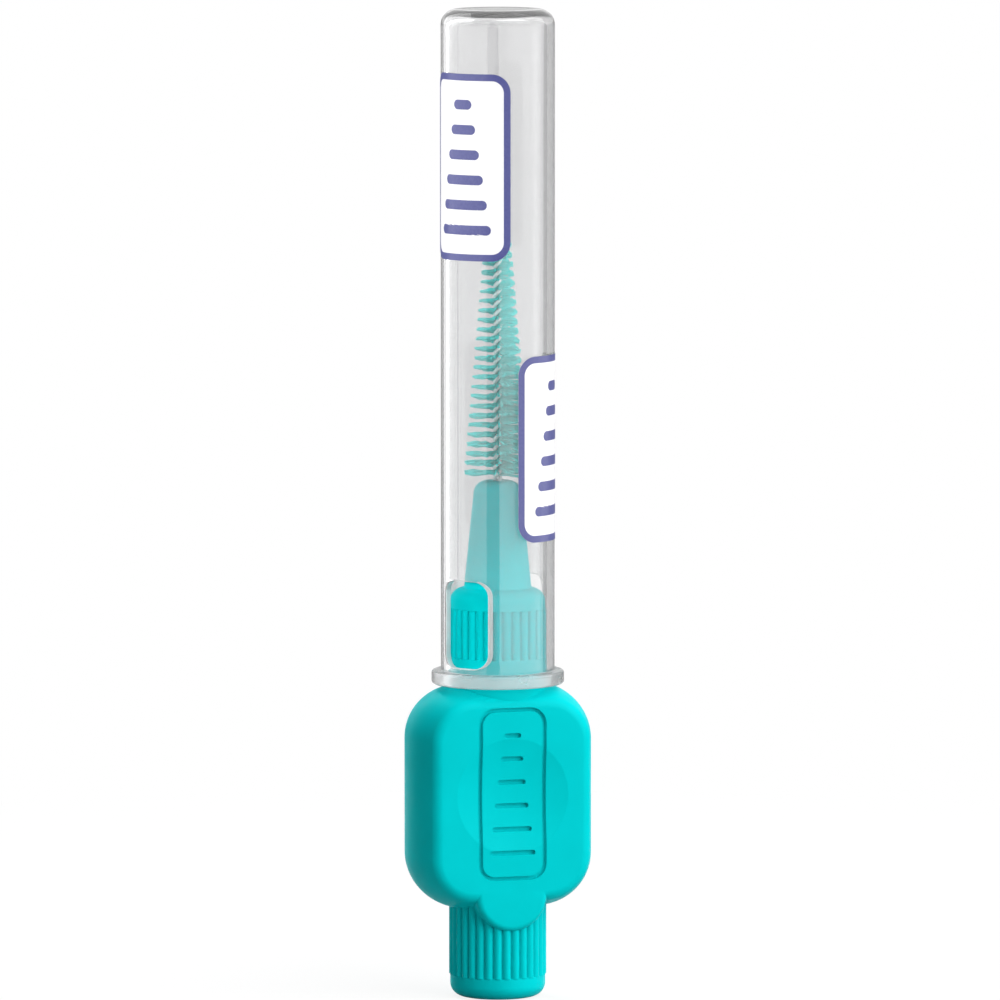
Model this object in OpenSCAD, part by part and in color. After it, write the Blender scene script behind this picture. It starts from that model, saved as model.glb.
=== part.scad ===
// Interdental brush standing on the end of its handle, with its clear cap pushed on.
// Origin: middle of the handle's lower end face. +Z runs up the wire, -Y is the side with the front dish.

/* [Grip] */
// Width of the thumb grip, left to right
grip_w = 13.8; // [12:0.1:16]
// Height of the thumb grip
grip_h = 16.7; // [13:0.1:22]
// Thickness of the thumb grip, front to back
grip_t = 7.7; // [7.5:0.1:9]
// Radius of the grip's corners, seen from the front
grip_corner_r = 4.1; // [3:0.1:5]
// Angle by which the grip's bulged sides lean in where they meet its rounded edges
grip_lean = 25; // [10:1:30]
// Rounding of the grip's edges
grip_edge_r = 0.9; // [0.4:0.05:0.95]
// Radius of the round dish in each face of the grip
dish_r = 4.3; // [3:0.1:4.8]
// Depth of each dish
dish_depth = 0.35; // [0.15:0.05:0.6]
// Height of the dish's centre above the middle of the grip
dish_rise = 0.3; // [0:0.05:1]
// Radius of the half-round tongue that laps over the stub
tongue_r = 2.75; // [2.2:0.05:3.2]
// How far the tongue hangs below the grip
tongue_drop = 1.47; // [1:0.01:2.4]
// Rounding of the tongue's front edge
tongue_edge_r = 0.45; // [0.2:0.05:0.6]

/* [Stub and cap seat] */
// Radius of the seat's plain collar, which the cap's bore fits
seat_r = 3.64; // [3.4:0.02:3.8]
// Length of the stub below the grip
stub_len = 6.7; // [5:0.1:10]
// Height of the smooth band at the stub's free end
stub_band_h = 1.65; // [1.2:0.05:2.2]
// Height of the cap seat above the grip
seat_len = 7.15; // [6:0.05:9]
// Height of the plain collar at the foot of the seat
seat_collar_h = 2.05; // [1:0.05:3]
// Height of the smooth band at the top of the seat
seat_band_h = 1.5; // [1.2:0.05:2.2]
// How far the rib crests lie inside the collar
rib_relief = 0.02; // [0.01:0.01:0.05]
// How far the smooth bands lie inside the collar
band_relief = 0.1; // [0.04:0.02:0.2]
// Rounding of the bands' free edges
band_edge_r = 1; // [0.5:0.05:1.15]
// Number of ribs round the stub and the seat
rib_count = 32; // [24:2:40]
// Radius of one rib's round back
rib_back_r = 0.3; // [0.24:0.02:0.36]
// Depth of the grooves between the ribs
groove_depth = 0.26; // [0.1:0.02:0.28]

/* [Neck] */
// Length of the neck above the seat
neck_len = 8; // [6:0.1:12]
// Radius of the neck at its foot
neck_foot_r = 2.5; // [2.2:0.05:2.8]
// Radius that the neck tapers to at its top
neck_top_r = 1.8; // [1.4:0.05:2.1]
// Rounding of the neck's top edge
neck_edge_r = 1; // [0.4:0.05:1.2]

/* [Wire] */
// Radius of the bare steel wire
steel_r = 0.11; // [0.08:0.01:0.13]
// Thickness of the plastic coat on the wire
coat_t = 0.04; // [0.02:0.01:0.06]
// Height gained in one full turn of the twist
twist_lead = 1.42; // [1.3:0.02:1.7]
// Length of wire buried in the neck
buried_len = 5; // [3:0.5:6]
// Height of the wire's fold above the last filament
fold_h = 0.3; // [0.2:0.05:0.6]

/* [Bristles] */
// Gap between the neck and the first filament
head_gap = 0.45; // [0.3:0.05:1]
// Length of the wire that carries filaments
head_len = 21.6; // [16:0.1:23]
// Reach of the lowest filaments from the axis
head_foot_r = 2.53; // [1.5:0.01:2.9]
// Reach of the topmost filaments from the axis
head_top_r = 0.62; // [0.5:0.01:1.4]
// Number of filament rows; all but one filament of a row have a partner on the other side
filament_rows = 230; // [180:10:250]
// Width and height of one filament's diamond section
filament_w = 0.085; // [0.06:0.005:0.09]

/* [Cap] */
// Radial clearance between the cap's bore and the seat
cap_clearance = 0.03; // [0.01:0.01:0.1]
// Wall of the cap's tube
cap_wall = 0.55; // [0.4:0.05:0.8]
// Length of the cap
cap_len = 50.1; // [45:0.1:60]
// Thickness of the cap's closed end
cap_end_t = 0.65; // [0.4:0.05:1]
// Outside rounding of the closed end
cap_edge_r = 1.15; // [0.8:0.05:1.6]
// How far the flange stands out from the tube
flange_out = 0.7; // [0.4:0.05:1.2]
// Height of the flange
flange_h = 1; // [0.6:0.05:1.5]
// Rounding of the flange's edges
flange_edge_r = 0.2; // [0.1:0.05:0.25]
// Width of each drying window, straight across
window_w = 3.9; // [2.5:0.1:5]
// Height of each drying window
window_h = 6.5; // [4:0.1:8]
// Radius of the windows' corners
window_corner_r = 1.1; // [0.5:0.1:1.2]
// Wall left between the flange and the windows
window_lift = 0.4; // [0.3:0.05:1]
// Turn of the windows from the front, towards the left
window_turn = 55; // [40:1:70]

/* [Printed panels] */
// Width of each printed panel, round the tube
panel_w = 7.5; // [4:0.1:8.5]
// Height of each printed panel
panel_h = 13.8; // [8:0.1:15]
// Radius of the panels' corners
panel_corner_r = 1.4; // [0.5:0.1:1.9]
// Thickness of the ink
ink_t = 0.03; // [0.02:0.01:0.05]
// Height of the lower panel's foot above the cap's mouth
panel_lift = 10.8; // [9:0.1:14]
// Drop from the cap's closed end to the top of the upper panel
panel_drop = 4.6; // [3:0.1:7]

/* [Hidden] */
$fn = 96;

// Overrun of every cut past the face that it starts from
cut_over = 0.5;

// Heights of the handle, from its lower end up
grip_z = stub_len + grip_h / 2;
grip_top_z = stub_len + grip_h;
seat_top_z = grip_top_z + seat_len;
neck_top_z = seat_top_z + neck_len;
tongue_z = stub_len - tongue_drop + tongue_r;
band_r = seat_r - band_relief;
rib_crest_r = seat_r - rib_relief;
rib_core_r = rib_crest_r - groove_depth;
dish_sphere_r = (dish_r * dish_r + dish_depth * dish_depth) / (2 * dish_depth);
// Each side of the grip is an arc from -bulge_h to bulge_h across its thickness
bulge_h = grip_t / 2 - grip_edge_r * (1 - sin(grip_lean));
bulge_r = bulge_h / sin(grip_lean);
// How far the flat of each face ends inside the widest outline
face_inset = bulge_r * (1 - cos(grip_lean)) + grip_edge_r * cos(grip_lean);

// The two legs of the wire lie on either side of the web that joins the filaments
web_t = 0.06;
nip_gap = 0.02;
coat_r = steel_r + coat_t;
leg_offset = coat_r + web_t / 2 + nip_gap;
wire_foot_z = neck_top_z - buried_len;
head_z = neck_top_z + head_gap;
head_top_z = head_z + head_len;
wire_fold_z = head_top_z + fold_h - leg_offset - coat_r;
bury_clearance = 0.02;
bury_r = leg_offset + coat_r + bury_clearance;
steel_slack = 0.004;
// Turn of the filaments at the foot of the head, seen from above
head_turn = 150;
wire_sides = 5;
steps_per_turn = 9;
fold_steps = 6;

// The cap stands on the grip and closes on the seat
mouth_z = grip_top_z;
cap_bore_r = seat_r + cap_clearance;
cap_r = cap_bore_r + cap_wall;
cap_top_z = mouth_z + cap_len;
cap_inner_edge_r = cap_edge_r - cap_wall;
window_z = mouth_z + flange_h + window_lift + window_h / 2;
panel_low_z = mouth_z + panel_lift + panel_h / 2;
panel_high_z = cap_top_z - panel_drop - panel_h / 2;
// The ink spans this much of a half turn, so its straight width is a sine
panel_half_angle = panel_w / 2 / cap_r * 180 / PI;
panel_straight_w = 2 * cap_r * sin(panel_half_angle);

// Handle

module rounded_rect(w, h, r) {
    square([w - 2 * r, h], center = true);
    square([w, h - 2 * r], center = true);
    for (x = [-1, 1], y = [-1, 1])
        translate([x * (w / 2 - r), y * (h / 2 - r)]) circle(r);
}

// Round disc about Z, from z = -h/2 to h/2, with both edges rounded
module rounded_disc(r, h, edge) {
    rotate_extrude() {
        translate([0, -h / 2]) square([r - edge, h]);
        translate([0, edge - h / 2]) square([r, h - 2 * edge]);
        for (y = [-1, 1]) translate([r - edge, y * (h / 2 - edge)]) circle(edge);
    }
}

// Right half of a section across the grip's thickness, out to the top of its bulge at x = reach.
// The line where the bulge meets a rounded edge runs through the centres of both arcs.
module bulged_half(reach) {
    face_w = reach - face_inset;
    wedge = 2 * grip_edge_r;
    bulge_x = reach - bulge_r;
    x0 = max(bulge_x, 0);
    x1 = reach + wedge;
    y0 = (x0 - bulge_x) * tan(grip_lean);
    y1 = (x1 - bulge_x) * tan(grip_lean);
    translate([0, -grip_t / 2]) square([face_w, grip_t]);
    for (side = [0, 1])
        mirror([0, side])
            translate([face_w, grip_t / 2 - grip_edge_r])
                intersection() {
                    circle(grip_edge_r);
                    polygon([[0, 0], [wedge, wedge * tan(grip_lean)], [wedge, wedge], [0, wedge]]);
                }
    intersection() {
        translate([bulge_x, 0]) circle(bulge_r);
        polygon([[x0, -y0], [x1, -y1], [x1, y1], [x0, y0]]);
    }
}

module bulged_section(reach) {
    bulged_half(reach);
    mirror([1, 0]) bulged_half(reach);
}

module grip_block() {
    translate([0, 0, grip_z]) {
        linear_extrude(grip_h - 2 * grip_corner_r, center = true) bulged_section(grip_w / 2);
        rotate([0, 90, 0])
            linear_extrude(grip_w - 2 * grip_corner_r, center = true) bulged_section(grip_h / 2);
        for (x = [-1, 1], z = [-1, 1])
            translate([x * (grip_w / 2 - grip_corner_r), 0, z * (grip_h / 2 - grip_corner_r)])
                rotate([90, 0, 0]) rotate_extrude() bulged_half(grip_corner_r);
    }
}

module tongues() {
    translate([0, 0, tongue_z]) rotate([90, 0, 0]) rounded_disc(tongue_r, grip_t, tongue_edge_r);
}

module dishes() {
    for (y = [-1, 1])
        translate([0, y * (grip_t / 2 - dish_depth + dish_sphere_r), grip_z + dish_rise])
            sphere(dish_sphere_r);
}

// Ribs round a core, from z = 0 to h
module ribbed_length(h) {
    linear_extrude(h) {
        circle(rib_core_r);
        for (i = [0 : rib_count - 1])
            rotate((i + 1 / 2) * 360 / rib_count) translate([rib_crest_r - rib_back_r, 0]) circle(rib_back_r);
    }
}

// Smooth band with its free edge rounded, from z = 0 up to its free end at h
module end_band(h) {
    rotate_extrude() {
        square([band_r - band_edge_r, h]);
        square([band_r, h - band_edge_r]);
        translate([band_r - band_edge_r, h - band_edge_r]) circle(band_edge_r);
    }
}

module stub() {
    translate([0, 0, stub_band_h]) mirror([0, 0, 1]) end_band(stub_band_h);
    translate([0, 0, stub_band_h]) ribbed_length(grip_z - stub_band_h);
}

module cap_seat() {
    rib_z = grip_top_z + seat_collar_h;
    band_z = seat_top_z - seat_band_h;
    translate([0, 0, grip_z]) cylinder(r = seat_r, h = rib_z - grip_z);
    translate([0, 0, rib_z]) ribbed_length(band_z - rib_z);
    translate([0, 0, band_z]) end_band(seat_band_h);
}

module neck() {
    root_z = seat_top_z - seat_band_h;
    edge_z = neck_top_z - neck_edge_r;
    translate([0, 0, root_z]) cylinder(r = neck_foot_r, h = seat_top_z - root_z);
    translate([0, 0, seat_top_z]) cylinder(r1 = neck_foot_r, r2 = neck_top_r, h = edge_z - seat_top_z);
    rotate_extrude() {
        translate([0, edge_z]) square([neck_top_r - neck_edge_r, neck_edge_r]);
        intersection() {
            translate([neck_top_r - neck_edge_r, edge_z]) circle(neck_edge_r);
            translate([0, edge_z - neck_edge_r]) square([neck_top_r, 2 * neck_edge_r]);
        }
    }
}

module handle() {
    color("darkturquoise")
        difference() {
            union() {
                grip_block();
                tongues();
                stub();
                cap_seat();
                neck();
            }
            dishes();
            translate([0, 0, wire_foot_z - coat_r]) cylinder(r = bury_r, h = buried_len + coat_r + cut_over);
        }
}

// Wire: one length, folded at the tip and twisted. All its rings come from one path.

function twist_angle(z) = head_turn + 360 * (z - head_z) / twist_lead;

leg_steps = ceil((wire_fold_z - wire_foot_z) / twist_lead * steps_per_turn);
leg_heights = [for (i = [0 : leg_steps]) wire_foot_z + (wire_fold_z - wire_foot_z) * i / leg_steps];
fold_turn = twist_angle(wire_fold_z) + 90;

// A ring's frame: its centre, and two unit vectors across the wire there
function leg_frame(z, side) =
    let (
        a = twist_angle(z) + 90,
        out = side * [cos(a), sin(a), 0],
        along = [-side * sin(a) * leg_offset, side * cos(a) * leg_offset, twist_lead / (2 * PI)],
        across = side * cross(along / norm(along), out)
    )
    [leg_offset * out + [0, 0, z], out, across];

function fold_frame(angle) =
    let (
        flat = [cos(fold_turn), sin(fold_turn), 0],
        out = cos(angle) * flat + [0, 0, sin(angle)]
    )
    [leg_offset * out + [0, 0, wire_fold_z], out, cross([0, 0, 1], flat)];

wire_frames = concat(
    [for (z = leg_heights) leg_frame(z, 1)],
    [for (j = [1 : fold_steps - 1]) fold_frame(180 * j / fold_steps)],
    [for (i = [leg_steps : -1 : 0]) leg_frame(leg_heights[i], -1)]
);
wire_rings = len(wire_frames);

function wire_skin_points(r) = [
    for (f = wire_frames, s = [0 : wire_sides - 1])
        let (a = 360 * s / wire_sides) f[0] + r * (cos(a) * f[1] + sin(a) * f[2])
];

// Point s of ring i, in a list of points that starts at point number first
function ring_point(first, i, s) = first + i * wire_sides + (s % wire_sides);

function flipped(face) = [face[2], face[1], face[0]];

function wire_skin_faces(first) = [
    for (i = [0 : wire_rings - 2], s = [0 : wire_sides - 1])
        let (
            a = ring_point(first, i, s),
            b = ring_point(first, i, s + 1),
            c = ring_point(first, i + 1, s + 1),
            d = ring_point(first, i + 1, s)
        )
        each [[a, b, c], [a, c, d]]
];

// Flat end of a solid wire, at ring i
function wire_end_faces(i) = [for (s = [1 : wire_sides - 2]) [ring_point(0, i, 0), ring_point(0, i, s + 1),
    ring_point(0, i, s)]];

// Ring-shaped end between an outer and an inner skin, at ring i
function sleeve_end_faces(i, inner) = [
    for (s = [0 : wire_sides - 1])
        let (
            a = ring_point(0, i, s),
            b = ring_point(0, i, s + 1),
            c = ring_point(inner, i, s + 1),
            d = ring_point(inner, i, s)
        )
        each [[a, c, b], [a, d, c]]
];

module core_wire() {
    color("silver")
        polyhedron(
            points = wire_skin_points(steel_r),
            faces = concat(
                wire_skin_faces(0),
                wire_end_faces(0),
                [for (f = wire_end_faces(wire_rings - 1)) flipped(f)]
            ),
            convexity = 8
        );
}

module wire_coating() {
    inner = wire_rings * wire_sides;
    color("gainsboro")
        polyhedron(
            points = concat(wire_skin_points(coat_r), wire_skin_points(steel_r + steel_slack)),
            faces = concat(
                wire_skin_faces(0),
                [for (f = wire_skin_faces(inner)) flipped(f)],
                sleeve_end_faces(0, inner),
                [for (f = sleeve_end_faces(wire_rings - 1, inner)) flipped(f)]
            ),
            convexity = 8
        );
}

// Bristles: a thin twisted web between the legs of the wire, with a filament out of each edge in turn.
// Filaments of side 1 and side -1 are half a row apart in height, so that the web is never thinner than
// half its own thickness. The web's two edges are the chains of points that half_row numbers.

row_h = head_len / filament_rows;
last_half = 2 * filament_rows;

function half_row_z(j) = head_z + j * row_h / 2;
function web_dir(z) = [cos(twist_angle(z)), sin(twist_angle(z)), 0];
function web_normal(z) = [-sin(twist_angle(z)), cos(twist_angle(z)), 0];
function head_reach(z) = head_foot_r + (head_top_r - head_foot_r) * (z - head_z) / head_len;

// Four points of each half row's edge: a filament's flanks where one starts, and a plain point between
function edge_point(j, side, face) =
    let (z = half_row_z(j), has_flanks = (side == 1) ? j % 2 == 1 : j % 2 == 0)
    side * leg_offset * web_dir(z) + (has_flanks ? face * web_t / 2 : 0) * web_normal(z) + [0, 0, z];

// Middle half row of every filament on one side
function filament_halves(side) = (side == 1) ? [1 : 2 : last_half - 1] : [2 : 2 : last_half - 2];

function filament_tip(j, side) =
    let (z = half_row_z(j), tip = side * head_reach(z) * web_dir(z) + [0, 0, z], h = filament_w / 2)
    [tip - [0, 0, h], tip + side * h * web_normal(z), tip + [0, 0, h], tip - side * h * web_normal(z)];

web_points = [for (side = [1, -1], j = [0 : last_half], face = [1, -1]) edge_point(j, side, face)];
tip_points = [for (side = [1, -1], j = filament_halves(side)) each filament_tip(j, side)];

// Number of the web's point at half row j; plain points have one number for both faces
function web_index(j, side, face) =
    let (has_flanks = (side == 1) ? j % 2 == 1 : j % 2 == 0, column = (face == 1 || !has_flanks) ? 0 : 1)
    ((side == 1) ? 0 : 2 * (last_half + 1)) + 2 * j + column;

function filament_first(j, side) =
    len(web_points) + 4 * ((side == 1) ? (j - 1) / 2 : filament_rows + j / 2 - 1);

function web_faces(face) = concat(
    [[web_index(0, 1, face), web_index(1, 1, face), web_index(1, -1, face)]],
    [
        for (j = [1 : last_half - 2])
            let (
                a = web_index(j, 1, face),
                b = web_index(j + 1, 1, face),
                c = web_index(j + 1, -1, face),
                d = web_index(j, -1, face)
            )
            each (j % 2 == 1) ? [[a, b, c], [a, c, d]] : [[a, b, d], [b, c, d]]
    ],
    [[web_index(last_half - 1, 1, face), web_index(last_half, 1, face), web_index(last_half - 1, -1, face)]]
);

function filament_faces(j, side) =
    let (
        foot = [web_index(j - 1, side, 1), web_index(j, side, side), web_index(j + 1, side, 1),
            web_index(j, side, -side)],
        first = filament_first(j, side)
    )
    concat(
        [
            for (i = [0 : 3])
                let (k = (i + 1) % 4)
                each [[first + i, first + k, foot[k]], [first + i, foot[k], foot[i]]]
        ],
        [[first + 3, first + 2, first + 1], [first + 3, first + 1, first]]
    );

module bristles() {
    color("turquoise")
        polyhedron(
            points = concat(web_points, tip_points),
            faces = concat(
                web_faces(1),
                [for (f = web_faces(-1)) flipped(f)],
                [for (side = [1, -1], j = filament_halves(side)) each filament_faces(j, side)]
            ),
            convexity = 10
        );
}

// Cap

// Half outline of a closed tube from z0 to z1 with its top edge rounded
module closed_tube_outline(r, z0, z1, edge) {
    translate([0, z0]) square([r - edge, z1 - z0]);
    translate([0, z0]) square([r, z1 - z0 - edge]);
    translate([r - edge, z1 - edge]) circle(edge);
}

module flange_outline() {
    flange_w = flange_out + cap_wall;
    translate([cap_bore_r + flange_w / 2, mouth_z + flange_h / 2])
        rounded_rect(flange_w, flange_h, flange_edge_r);
    translate([cap_bore_r, mouth_z]) square([flange_w / 2, flange_h]);
}

module windows() {
    translate([0, 0, window_z])
        rotate([90, 0, -window_turn])
            linear_extrude(2 * (cap_r + cut_over), center = true)
                rounded_rect(window_w, window_h, window_corner_r);
}

module cap() {
    color("whitesmoke", 0.35)
        difference() {
            rotate_extrude() {
                difference() {
                    closed_tube_outline(cap_r, mouth_z, cap_top_z, cap_edge_r);
                    closed_tube_outline(cap_bore_r, mouth_z - cut_over, cap_top_z - cap_end_t, cap_inner_edge_r);
                }
                flange_outline();
            }
            windows();
        }
}

// Printed panels: ink on the outside of the tube, one on each side of the front

module printed_panel(z, turn) {
    intersection() {
        difference() {
            translate([0, 0, z - panel_h]) cylinder(r = cap_r + ink_t, h = 2 * panel_h);
            translate([0, 0, z - panel_h - cut_over]) cylinder(r = cap_r, h = 2 * (panel_h + cut_over));
        }
        translate([0, 0, z])
            rotate([90, 0, turn])
                linear_extrude(cap_r + cut_over)
                    rounded_rect(panel_straight_w, panel_h, panel_corner_r);
    }
}

module panel_upper() {
    color("white") printed_panel(panel_high_z, -window_turn);
}

module panel_lower() {
    color("white") printed_panel(panel_low_z, window_turn);
}

handle();
core_wire();
wire_coating();
bristles();
cap();
panel_upper();
panel_lower();
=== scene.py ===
import math

import bmesh
import bpy
import numpy as np
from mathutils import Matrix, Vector


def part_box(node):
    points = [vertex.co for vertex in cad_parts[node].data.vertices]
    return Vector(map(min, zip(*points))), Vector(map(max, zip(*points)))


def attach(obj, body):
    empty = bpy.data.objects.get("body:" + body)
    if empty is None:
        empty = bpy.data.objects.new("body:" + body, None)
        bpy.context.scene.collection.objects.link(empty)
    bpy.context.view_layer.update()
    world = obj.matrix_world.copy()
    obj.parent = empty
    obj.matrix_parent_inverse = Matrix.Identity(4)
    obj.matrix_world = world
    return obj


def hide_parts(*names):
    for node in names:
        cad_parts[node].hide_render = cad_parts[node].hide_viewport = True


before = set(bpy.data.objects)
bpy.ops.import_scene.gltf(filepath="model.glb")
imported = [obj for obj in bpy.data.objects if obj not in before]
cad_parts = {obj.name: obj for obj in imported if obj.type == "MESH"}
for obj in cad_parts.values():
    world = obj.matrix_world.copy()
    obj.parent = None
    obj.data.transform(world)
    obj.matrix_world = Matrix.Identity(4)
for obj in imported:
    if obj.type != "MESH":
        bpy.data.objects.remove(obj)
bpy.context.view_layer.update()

# Sizes are in millimetres: new_piece() and place_looking() turn them into metres
MM = 0.001
SEED = 11
TINY = 1e-9


def node_box(node):
    """Lowest and highest corner of a CAD node, in millimetres."""
    low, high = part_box(node)
    return np.array(low) / MM, np.array(high) / MM


HANDLE_LOW, HANDLE_HIGH = node_box("handle")
CAP_LOW, CAP_HIGH = node_box("cap")
HEAD_LOW, HEAD_HIGH = node_box("bristles")
WIRE_LOW, WIRE_HIGH = node_box("wire_coating")

# Grip
GRIP_W = HANDLE_HIGH[0] - HANDLE_LOW[0]
GRIP_T = HANDLE_HIGH[1] - HANDLE_LOW[1]
GRIP_H = 16.7
GRIP_TOP = CAP_LOW[2]
GRIP_BOTTOM = GRIP_TOP - GRIP_H
GRIP_Z = GRIP_TOP - GRIP_H / 2
GRIP_CORNER_R = 4.1
GRIP_EDGE_R = 0.9
# The grip's sides bulge on an arc, and lean in by this angle where they meet its rounded edges
GRIP_LEAN = math.radians(25)
BULGE_R = (GRIP_T / 2 - GRIP_EDGE_R * (1 - math.sin(GRIP_LEAN))) / math.sin(GRIP_LEAN)
FACE_INSET = BULGE_R * (1 - math.cos(GRIP_LEAN)) + GRIP_EDGE_R * math.cos(GRIP_LEAN)
EDGE_STEPS = 10
BULGE_STEPS = 10
GRIP_CORNER_STEPS = 24
GRIP_SIDE_STEPS = 12
DISH_R = 4.3
DISH_DEPTH = 0.35
# Height of the dish's centre above the middle of the grip
DISH_RISE = 0.3
# Width of the turn from the dish into the flat face
DISH_LIP = 0.06
DISH_START_R = 0.5
DISH_RINGS = 10
# Places of the rings between the dish and the grip's rounded edge, as shares of the way
FACE_SHARES = (0.25, 0.5, 0.75, 1)
# Half-round tongue of the grip over the stub
TONGUE_R = 2.75
TONGUE_Z = 7.98
TONGUE_EDGE_R = 0.45
TONGUE_EDGE_STEPS = 8
TONGUE_SIDES = 128
# Turn of an edge that shows as a sharp one, in degrees
HANDLE_SHARP = 32

# Stub and cap seat
STUB_BAND_TOP = 1.65
SEAT_COLLAR_TOP = GRIP_TOP + 2.05
SEAT_TOP = GRIP_TOP + 7.15
SEAT_BAND_FOOT = SEAT_TOP - 1.5
COLLAR_R = 3.64
BAND_R = 3.54
BAND_EDGE_R = 1
ROUND_STEPS = 10
RIB_CREST_R = 3.62
RIB_BACK_R = 0.3
RIB_FLOOR_R = 3.36
RIB_COUNT = 32
RIB_END = 0.03
# Places across half a rib's pitch at which its outline has points, in degrees from the crest
RIB_STEPS = (1.2, 2.4, 3.5, 4.3, 4.8, 5.1)
# The seat and the stub run on into the grip, where nothing shows them
BURIED_R = 3.2
BURIED_DEPTH = 2.4

# Neck
NECK_TOP = HANDLE_HIGH[2]
NECK_FOOT_R = 2.5
NECK_TOP_R = 1.8
NECK_EDGE_R = 1
NECK_FILLET = 0.15
FILLET_STEPS = 4
NECK_RINGS = 9
WIRE_HOLE_R = 0.37
WIRE_HOLE_DEPTH = 1.2

# Engraved badge on each face of the grip: a plain frame round a row of bars of rising length
BADGE_HALF_W = 2.62
BADGE_HALF_H = 6.45
BADGE_RISE = 0.45
BADGE_CORNER_R = 1.1
BADGE_LINE_W = 0.32
BADGE_DEPTH = 0.3
BADGE_DRAFT = 0.05
BADGE_CORNER_STEPS = 12
BADGE_SIDE_STEPS = 40
BAR_COUNT = 6
BAR_PITCH = 1.75
BAR_HALF_T = 0.19
BAR_SHORT = 1.3
BAR_LONG = 3.5
# A bar's cutter starts this far round its round end, in radians, because it needs some width there
BAR_TIP_ANGLE = 0.12
BAR_TIP_PLACES = 7
BAR_PLACES = 9

# Wire and its coat
COAT_R = 0.15
STEEL_R = 0.11
LEG_OFFSET = 0.2
TWIST_LEAD = 1.42
HEAD_TURN = math.radians(150)
WIRE_SIDES = 10
WIRE_STEPS = 18
FOLD_STEPS = 14

# Filaments
HEAD_FOOT_R = 2.53
HEAD_TOP_R = 0.62
FILAMENTS = 1200
FILAMENT_R = 0.048
FILAMENT_SIDES = 4
FILAMENT_RINGS = 5
# How far a row of filaments spreads up and down where it is thickest, as a share of their length
SPREAD_SHARE = 0.08
# How far a filament may stand off the twist's own angle, in radians
TURN_SPREAD = 0.2
# Standard deviations of a filament's slope and of its bow, and its least length as a share of the cone's
SLOPE_SPREAD = 0.018
BOW_SPREAD = 0.05
LEAST_REACH = 0.955
# The rows are combed: a filament that points this way rises by COMB_RISE of its length, its partner falls
COMB_TURN = math.radians(90 + 17)
COMB_RISE = 0.078

# Cap
BORE_R = 3.67
TUBE_R = 4.22
CAP_END_T = 0.65
CAP_EDGE_R = 1.15
CAP_INNER_EDGE_R = CAP_EDGE_R - (TUBE_R - BORE_R)
FLANGE_R = min(CAP_HIGH[0], CAP_HIGH[1])
FLANGE_H = 1
FLANGE_TOP = CAP_LOW[2] + FLANGE_H
FLANGE_EDGE_R = 0.2
FLANGE_FILLET = 0.06
# Roughness of the flange, and the height over which it gives way to the tube's gloss
FLANGE_HAZE = 0.25
FLANGE_FADE = 0.3
# Share of the light that passes through the plastic, where the rest shows its grey haze
TUBE_CLEARNESS = 0.95
FLANGE_CLEARNESS = 0.68
# Share of a lamp's light that each face of the clear wall lets through
CAP_SHADE = (0.64, 0.64, 0.64, 1)
MOUTH_CHAMFER = 0.08
TUBE_COLUMNS = 192
WALL_RINGS = 12
CAP_EDGE_STEPS = 12
CAP_INNER_EDGE_STEPS = 8
FLANGE_EDGE_STEPS = 5
CHAMFER_STEPS = 3
WINDOW_W = 3.9
WINDOW_H = 6.5
WINDOW_CORNER_R = 1.1
WINDOW_EDGE_R = 0.12
# How far below the wall's faces the windows' dull rims start
RIM_SKIN = 0.02
WINDOW_GAP = 0.4
WINDOW_Z = FLANGE_TOP + WINDOW_GAP + WINDOW_H / 2
# Direction of the first window's middle, where -90 degrees is the front; the other is opposite
WINDOW_TURN = math.radians(-90 - 55)
# The patch of wall round a window: columns to each side of its middle, rows, and the margin above and below
PATCH_COLUMNS = 20
PATCH_ROWS = 20
PATCH_MARGIN = 0.3
# Places of the rings between a window's edge and the border of its patch, as shares of the way
PATCH_SHARES = (0.66, 0.33, 0)
RIM_STEPS = 5

# Printed panels
PANEL_TURNS = {"panel_upper": math.radians(-90 - 55), "panel_lower": math.radians(-90 + 55)}
PANEL_HALF_W = 3.75
PANEL_CORNER_R = 1.4
INK_T = 0.03
LINE_T = 0.012
KEYLINE_W = 0.5
PANEL_BAR_PITCH = 1.85
PANEL_BAR_HALF_T = 0.36
PANEL_BAR_SHORT = 1.6
PANEL_BAR_LONG = 4.6
PANEL_CORNER_STEPS = 16
PANEL_SIDE_STEPS = 30
# Rings of a panel's ground, of its keyline and of a bar, as shares of the way to the outline
GROUND_SHARES = np.linspace(0.05, 1, 20)
KEYLINE_SHARES = (0, 0.5, 1)
BAR_SHARES = np.linspace(0.1, 1, 9)
BAR_ROUNDING = 0.98
BAR_END_STEPS = 8
BAR_SIDE_STEPS = 6
PANEL_SHARP = 40


# Small tools for meshes


def new_piece(name, points, faces, body, slot, material):
    """A smooth mesh from points in millimetres, riding on a CAD body."""
    mesh = bpy.data.meshes.new(name)
    mesh.from_pydata((np.array(points, float) * MM).tolist(), [], faces)
    mesh.update()
    piece = bpy.data.objects.new(name, mesh)
    bpy.context.scene.collection.objects.link(piece)
    face_outwards(mesh)
    mesh.materials.append(material)
    mesh.polygons.foreach_set("use_smooth", [True] * len(mesh.polygons))
    if body:
        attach(piece, body)
    return piece


def face_outwards(mesh):
    """Turns every face's normal to the outside."""
    shape = bmesh.new()
    shape.from_mesh(mesh)
    bmesh.ops.recalc_face_normals(shape, faces=shape.faces)
    shape.to_mesh(mesh)
    shape.free()


def use_boolean(piece, other, operation):
    """Joins or cuts piece with other, which is then removed."""
    step = piece.modifiers.new(operation, "BOOLEAN")
    step.operation = operation
    step.solver = "EXACT"
    step.object = other
    bpy.context.view_layer.objects.active = piece
    bpy.ops.object.modifier_apply(modifier=step.name)
    bpy.data.objects.remove(other)


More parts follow.
